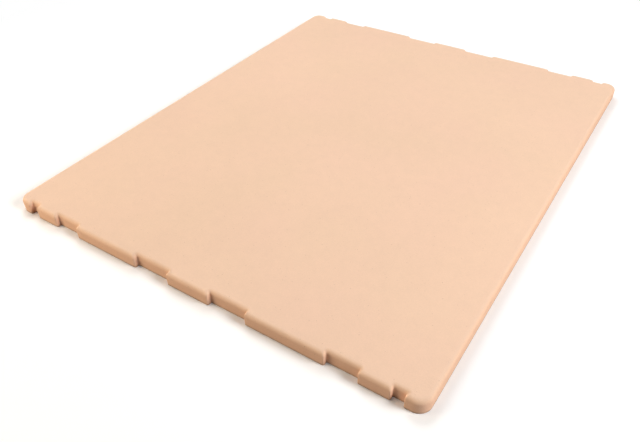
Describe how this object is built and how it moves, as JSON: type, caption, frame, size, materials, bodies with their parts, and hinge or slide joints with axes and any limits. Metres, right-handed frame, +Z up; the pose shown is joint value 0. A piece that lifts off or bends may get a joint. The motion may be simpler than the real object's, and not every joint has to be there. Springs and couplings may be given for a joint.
{
  "type": "pizza stone",
  "caption": "Thick rectangular baking slab of fired clay with rounded corners, a soft-edged flat top and rows of shallow notches along two opposite edges.",
  "frame": {"origin": "middle of the resting face, which lies flat on the shelf", "axes": "+X along the two notched edges, +Y from the front notched edge to the back one, +Z up out of the baking face"},
  "size_m": [0.375, 0.456, 0.012],
  "materials": {
    "stone": "unglazed, matt, fine-grained, peach beige"
  },
  "bodies": {
    "root": {"stone_slab": "stone"}
  },
  "joints": []
}
